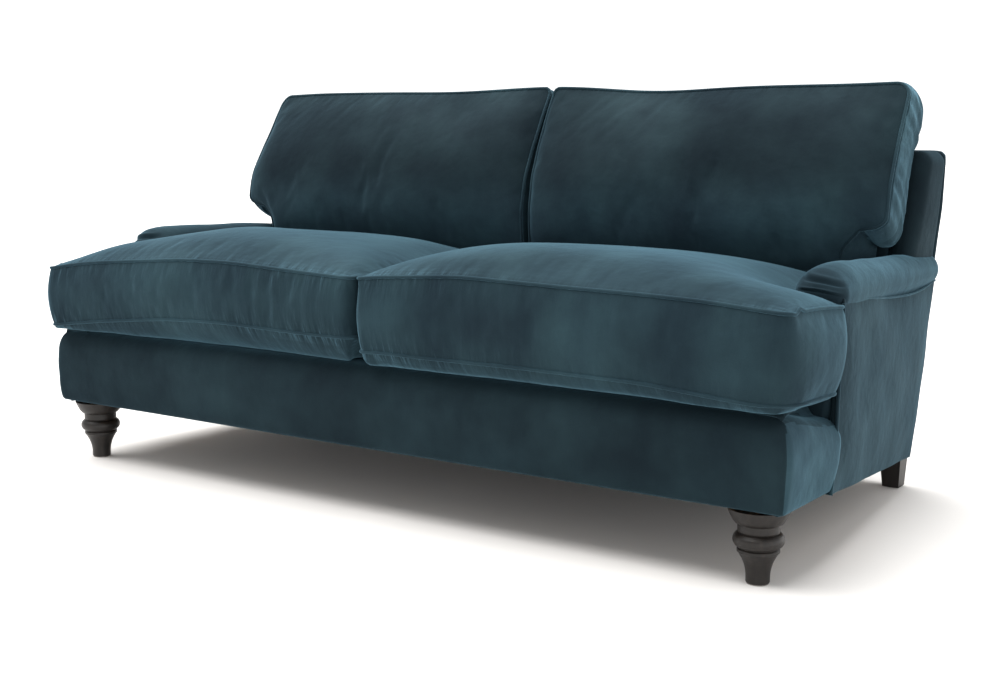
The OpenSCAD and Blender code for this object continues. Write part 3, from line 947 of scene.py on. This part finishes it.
def border_piece():
    """The padded border round the front of the base, swept round both front corners"""
    z0, z1 = border_lo.z, border_hi.z
    profile = [
        (-0.060, z0 + 0.008), (-0.020, z0 + 0.007), (-0.004, z0 - 0.001), (0.0015, z0 + 0.001),
        (0.003, z0 + 0.020), (0.0055, z0 + 0.045), (0.0080, z0 + 0.075), (0.0090, z0 + 0.105),
        (0.0080, z0 + 0.130), (0.0045, z0 + 0.148), (-0.002, z0 + 0.163), (-0.011, z0 + 0.173),
        (-0.024, z1 + 0.001), (-0.045, z1 + 0.001), (-0.085, z1 + 0.001)]
    profile = smooth_path([(0, *p) for p in profile], 0.006)[:, 1:]
    half, corner = border_hi.x, 0.013
    tail = border_hi.y - 0.004
    edge_back, edge_z = np.array(PANEL_EDGE).T
    path = []
    for y in np.linspace(tail, FRONT + corner, 12)[:-1]:
        path.append((half, y, 1, 0))
    for turn in np.linspace(0, math.pi / 2, 7):
        path.append((half - corner + corner * math.cos(turn), FRONT + corner - corner * math.sin(turn),
                     math.cos(turn), -math.sin(turn)))
    for x in np.linspace(half - corner, -half + corner, 110)[1:-1]:
        path.append((x, FRONT, 0, -1))
    path += [(-x, y, -nx, ny) for x, y, nx, ny in reversed(path[:18])]
    rings = []
    for x, y, nx, ny in path:
        ring = []
        for off, z in profile:
            at_end = ease(y, FRONT + 0.10, tail)
            meet = FRONT + np.interp(z, edge_z, edge_back) + 0.006
            drop = 0.22 * abs(nx) * ease(y, FRONT + 0.015, tail) * ease(off, -0.075, -0.045)
            ring.append((x + nx * off, y + ny * off + (meet - tail) * at_end, z0 + (z - z0) * (1 - drop)))
        rings.append(ring)
    rings = np.array(rings)
    flat = rings.reshape(-1, 3)
    swell = 0.0016 * wander(flat, 0.22, 5) + 0.0007 * wander(flat, 0.06, 6)
    face = ease(flat[:, 2], z0, z0 + 0.02) * ease(-flat[:, 2], -z1, -z1 + 0.03)
    outward = np.repeat([(p[2], p[3], 0) for p in path], len(profile), 0)
    flat += outward * (swell * face)[:, None]
    obj = loft("front_border_cover", rings, closed_rings=False)
    thick = obj.modifiers.new("Thickness", "SOLIDIFY")
    thick.thickness = 0.006
    thick.offset = -1
    subdivide(obj)
    # The darker copy: painted shade on the border's front under the seat cushions, partly the nap
    finish_piece(obj, NAP_SHADE_VELVET, ["front_border"])
    obj.data.materials.append(LIT_VELVET)
    # Faces turned to the sides take the lighter copy: painted light on the border's ends
    for strip in obj.data.polygons:
        strip.material_index = int(abs(strip.normal.x) > 0.7)


# Radius and height of the arm's roll, each at the front and at the back
ROLL_R = (0.054, 0.037)
ROLL_Z = (arm_hi.z - ROLL_R[0], arm_hi.z - ROLL_R[0] - 0.009)
ARM_FRONT = 0.234
ARM_BACK = outside_lo.y - FRONT - 0.006
ARM_LOW = 0.240
# Radius of the edge round the arm's front
ROUND = 0.036
# Height and depth of each pleat across the arm's front, and its width
PLEATS = ((0.550, 0.0040), (0.523, 0.0036))
PLEAT_WIDTH = 0.0030


def panel_x(back, z):
    """Distance of an arm's outer side from the sofa's middle"""
    rear_x = np.interp(z, [0.067, 0.161, 0.368, 0.476], [0.881, 0.893, 0.912, 0.922])
    t = ease(back, 0.10, 0.912) * 0.25 + np.clip((back - 0.21) / 0.70, 0, 1) * 0.75
    return 0.965 + (rear_x - 0.965) * t


def arm_section(back, inset):
    """Outline of an arm at a distance back: inner face, roll, tuck under the roll and outer side"""
    t = np.clip((back - ARM_FRONT) / (ARM_BACK - ARM_FRONT), 0, 1)
    radius = ROLL_R[0] + (ROLL_R[1] - ROLL_R[0]) * t
    x_in = arm_lo.x - 0.002
    cx, cz = x_in + radius, ROLL_Z[0] + (ROLL_Z[1] - ROLL_Z[0]) * t
    radius = radius - inset
    outline = [(x_in + 0.004 + inset, ARM_LOW), (x_in + 0.004 + inset, 0.40), (x_in + 0.002 + inset, 0.46)]
    for turn in np.linspace(math.pi * 1.02, -math.pi * 0.22, 52):
        outline.append((cx + radius * math.cos(turn), cz + radius * math.sin(turn)))
    side_x = cx + (radius + inset) * 0.86 - inset * 0.6
    for z in (cz - 0.036, 0.44, 0.38, ARM_LOW):
        outline.append((min(side_x - 0.003, panel_x(back, z) - 0.006), z))
    return outline


def arm_piece(side):
    """An arm's inner face, roll and pleated front in one cover"""
    rings = []
    centre = np.array([arm_lo.x + 0.045, 0.44])
    edge = np.array(arm_section(ARM_FRONT, ROUND * 0.98))
    for shrink in np.linspace(0.10, 0.98, 34):
        close = centre + (edge - centre) * shrink
        rings.append([(x, FRONT + ARM_FRONT - 0.002 + 0.002 * shrink, z) for x, z in close])
    for turn in np.linspace(0, math.pi / 2, 22):
        back = ARM_FRONT + ROUND * (1 - math.cos(turn))
        inset = ROUND * (1 - math.sin(turn))
        rings.append([(x, FRONT + back, z) for x, z in arm_section(back, inset)])
    for back in np.arange(ARM_FRONT + ROUND + 0.012, ARM_BACK, 0.014):
        rings.append([(x, FRONT + back, z) for x, z in arm_section(back, 0)])
    rings = np.array(rings)
    flat = rings.reshape(-1, 3)
    back = flat[:, 1] - FRONT
    inner = arm_lo.x + 0.030
    pleat = np.zeros(len(flat))
    for height, depth in PLEATS:
        line = height - 3.2 * np.maximum(flat[:, 0] - inner, 0) ** 2
        step = (flat[:, 2] - line) / PLEAT_WIDTH
        pleat += depth * (-np.exp(-step ** 2) + 0.75 * np.exp(-((step - 1.9) / 1.3) ** 2))
    pleat *= ease(-back, -ARM_FRONT - 0.050, -ARM_FRONT - 0.012)
    pleat *= ease(flat[:, 0], inner - 0.024, inner)
    pleat *= ease(-flat[:, 0], -arm_hi.x - 0.004, -arm_hi.x + 0.018)
    top = ease(flat[:, 2], 0.50, 0.55)
    flat[:, 1] -= pleat * (1 - 0.4 * top)
    flat[:, 2] += pleat * top
    flat[:, 2] -= 0.013 * ease(-back, -ARM_FRONT - 0.13, -ARM_FRONT) ** 2.5 * top
    flat[:, 2] += 0.0014 * wander(flat, 0.11, 51 + side) * top
    label = SIDES[side]
    obj = loft("arm_" + label, rings, side)
    subdivide(obj)
    finish_piece(obj, VELVET, ["arm_pad_" + label, "arm_facing_" + label])


# The seam under the arm's roll, as distance back and height, and the outer side's thickness
PANEL_TOP = [(0.25, 0.505), (0.30, 0.500), (0.37, 0.492), (0.46, 0.482),
             (0.56, 0.473), (0.68, 0.465), (0.75, 0.464), (0.82, 0.467), (0.92, 0.479)]
PANEL_T = 0.012


def panel_piece(side):
    """The outer side of an arm, from the front welt to the back"""
    edge_back, edge_z = np.array(PANEL_EDGE).T
    rear = panel_hi.y - FRONT - 0.001

    def warp(points):
        out, s, t = points.T
        start = np.interp(np.interp(t, [0, 1], [0.141, 0.495]), edge_z, edge_back)
        back = start + (rear - start) * s
        low = np.interp(back, [0.206, 0.48, 0.912], [0.141, 0.112, 0.067])
        high = table(back, PANEL_TOP)
        z = low + (high - low) * t
        puff = 0.007 * (1 - (2 * s - 1) ** 6) * (1 - (2 * t - 1) ** 6)
        x = panel_x(back, z) - PANEL_T + out + puff * (out > PANEL_T / 2)
        at = np.stack([x, FRONT + back, z], 1)
        at[:, 0] += 0.0012 * wander(at, 0.16, 61 + side) * (out > PANEL_T / 2)
        return at

    obj = soft_box("arm_side_" + SIDES[side], (0, 0, 0), (PANEL_T, 1, 1), 0.004, warp, 0.03, side)
    finish_piece(obj, NAP_SHADE_VELVET, ["arm_panel_" + SIDES[side]])


def arm_welt(side):
    """The corded seam down the front edge of an arm's outer side"""
    path = [(panel_x(b, z) + 0.001, FRONT + b - 0.001, z) for b, z in PANEL_EDGE]
    piece = tube("arm_welt_" + SIDES[side], smooth_path(path, 0.008), 0.0034, False, side)
    finish_piece(piece, PIPING_HIGHLIGHT_VELVET, ["arm_welts"])


def tuck_welt(side):
    """The narrow cord in the seam under an arm's roll"""
    path = []
    for back in np.linspace(0.268, 0.905, 60):
        z = table(back, PANEL_TOP) + 0.001
        path.append((panel_x(back, 0.476) + 0.0005, FRONT + back, z))
    piece = tube("arm_tuck_" + SIDES[side], path, 0.0024, False, side)
    finish_piece(piece, PIPING_HIGHLIGHT_VELVET, ["arm_welts"])


def back_end_piece(side):
    """The part of the fixed back that shows over an arm, beside the back cushion"""
    def warp(points):
        x, y, z = points.T
        t = (y - end_lo.y) / (end_hi.y - end_lo.y)
        start = FRONT + back_face(z)
        y = start + (outside_hi.y - 0.004 - start) * t
        width = np.interp(z, [0.535, 0.63, 0.73], [0.918, 0.928, 0.9345])
        x, z = round_corner(x, z, end_hi.x, end_hi.z, 0.020)
        x = end_lo.x + (x - end_lo.x) * (width - end_lo.x) / (end_hi.x - end_lo.x)
        x = x + 0.003 * np.sin(math.pi * t) * (x > end_lo.x + 0.03)
        return np.stack([x, y, z], 1)

    lo = (end_lo.x, end_lo.y, arm_hi.z - 0.07)
    obj = soft_box("back_end_cover_" + SIDES[side], lo, end_hi, 0.028, warp, 0.012, side)
    # The darkest copy: painted shade on the back's ends, with the nap brushed down
    finish_piece(obj, DEEP_SHADE_VELVET, ["back_end_" + SIDES[side]])


def inside_back_piece():
    """The padded front and top of the fixed back, behind the cushions"""
    def warp(points):
        x, y, z = points.T
        t = (y - inside_lo.y) / (inside_hi.y - inside_lo.y)
        start = back_face(z)
        over = np.interp(z, [inside_hi.z - 0.045, inside_hi.z - 0.030], [0, 1])
        end = start + 0.042 + over * (inside_hi.y - FRONT - start - 0.042)
        sag = 0.004 * np.cos(math.pi * x / inside_hi.x)
        y = FRONT + start + (end - start) * t - sag * (1 - t) * ease(z, 0.34, 0.42) * ease(-z, -0.76, -0.70)
        return np.stack([x, y, z], 1)

    lo = (inside_lo.x, inside_lo.y, inside_lo.z - 0.035)
    obj = soft_box("inside_back_cover", lo, inside_hi, 0.014, warp, 0.03)
    finish_piece(obj, VELVET, ["inside_back"])


def outside_back_piece():
    """The flat cover of the back, wider above the arms"""
    def warp(points):
        x, y, z = points.T
        half = np.interp(z, [0.067, 0.476, 0.575, 0.640, 0.766], [0.880, 0.915, 0.924, 0.931, 0.935])
        wide, z = round_corner(np.abs(x), z, outside_hi.x, outside_hi.z, 0.020)
        x = np.copysign(wide, x) * half / outside_hi.x
        y = y - (outside_hi.z - z) * 0.01
        at = np.stack([x, y, z], 1)
        inner = ease(half - np.abs(x), 0.0, 0.06)
        at[:, 1] += 0.0012 * wander(at, 0.3, 71) * inner * (y > y.mean())
        return at

    lo = (outside_lo.x, outside_hi.y - 0.020, outside_lo.z)
    obj = soft_box("outside_back_cover", lo, outside_hi, 0.0095, warp, 0.018)
    finish_piece(obj, NAP_SHADE_VELVET, ["outside_back"])


def deck_piece():
    """The padded deck under the seat cushions"""
    def warp(points):
        x, y, z = points.T
        back = y - FRONT
        t = (z - deck_lo.z) / (deck_hi.z - deck_lo.z)
        top = np.minimum(deck(back) - 0.001, 0.3205)
        z = top - (1 - t) * 0.024
        return np.stack([x, y, z], 1)

    lo = (deck_lo.x, FRONT + 0.06, deck_lo.z)
    hi = (deck_hi.x, inside_lo.y + 0.004, deck_hi.z)
    obj = soft_box("deck_cover", lo, hi, 0.004, warp, 0.03)
    finish_piece(obj, VELVET, ["deck_pad", "deck_cloth"])


def dust_piece():
    """The thin black cloth tacked under the base, sagging a little between its edges"""
    count_x, count_y = 60, 34
    rows = []
    for i in range(count_x + 1):
        row = []
        for j in range(count_y + 1):
            s, t = i / count_x, j / count_y
            x = dust_lo.x + (dust_hi.x - dust_lo.x) * s
            y = dust_lo.y + (dust_hi.y - dust_lo.y) * t
            sag = 0.010 * math.sin(math.pi * s) * math.sin(math.pi * t) ** 1.5
            pull = 0.0012 * math.sin(s * 130) * math.exp(-min(t, 1 - t) * 30)
            row.append((x, y, dust_hi.z + 0.006 + (dust_lo.z - dust_hi.z - 0.005) * t - sag + pull))
        rows.append(row)
    obj = loft("dust_cloth_sheet", rows, closed_rings=False)
    finish_piece(obj, DUST, ["dust_cover"])


border_piece()
inside_back_piece()
outside_back_piece()
deck_piece()
dust_piece()
for arm_side in (LEFT, RIGHT):
    arm_piece(arm_side)
    panel_piece(arm_side)
    arm_welt(arm_side)
    tuck_welt(arm_side)
    back_end_piece(arm_side)


# ---- floor, lights and camera ----


def add_floor():
    """A wide round studio floor"""
    mesh = bpy.data.meshes.new("floor")
    reach = 30
    ring = 64
    turns = [2 * math.pi * i / ring for i in range(ring)]
    points = [(reach * math.cos(turn), reach * math.sin(turn), 0) for turn in turns]
    mesh.from_pydata(points, [], [list(range(ring))])
    mesh.materials.append(plain_floor())
    floor = add_object("floor", mesh)


# Strength of the studio's white surroundings where they are brightest
GLOW = 2.75


def add_world():
    """A white studio: dimmer overhead, and brightest round the right end"""
    world = bpy.data.worlds.new("studio")
    world.use_nodes = True
    tree = world.node_tree
    place = tree.nodes.new("ShaderNodeTexCoord")
    split = tree.nodes.new("ShaderNodeSeparateXYZ")
    tree.links.new(place.outputs["Generated"], split.inputs[0])
    background = tree.nodes["Background"]
    background.inputs["Color"].default_value = (1, 1, 1, 1)
    glow = None
    for axis, low, high in (("X", (0.0, 0.46), (0.95, 1.0)), ("Z", (0.16, 1.0), (0.42, 0.42))):
        ramp = tree.nodes.new("ShaderNodeMapRange")
        for end, (where, value) in (("Min", low), ("Max", high)):
            ramp.inputs["From " + end].default_value = where
            ramp.inputs["To " + end].default_value = value
        tree.links.new(split.outputs[axis], ramp.inputs["Value"])
        product = tree.nodes.new("ShaderNodeMath")
        product.operation = "MULTIPLY"
        product.inputs[1].default_value = GLOW
        tree.links.new(ramp.outputs["Result"], product.inputs[0])
        if glow:
            tree.links.new(glow, product.inputs[1])
        glow = product.outputs[0]
    tree.links.new(glow, background.inputs["Strength"])
    bpy.context.scene.world = world


def add_sun():
    """A very soft, even light from almost straight above, a little to the left"""
    light = bpy.data.lights.new("soft_sun", "SUN")
    light.energy = 5.8
    light.angle = math.radians(62)
    light.color = (1.0, 0.992, 0.98)
    sun = add_object("soft_sun", light)
    sun.rotation_euler = Vector((-0.30, -0.06, 1.0)).to_track_quat("Z", "Y").to_euler()


def add_camera():
    """The photograph's viewpoint: in front of the right end, a little above the arms"""
    data = bpy.data.cameras.new("camera")
    data.lens = 51.15
    data.sensor_width = 36
    data.shift_x = -0.0028
    data.shift_y = -0.0182
    camera = add_object("camera", data)
    camera.location = (1.916, -2.691, 0.815)
    camera.rotation_euler = (math.radians(82.23), 0, math.radians(34.5))
    bpy.context.scene.camera = camera


add_floor()
add_world()
add_sun()
add_camera()
bpy.context.scene.view_settings.view_transform = "Standard"
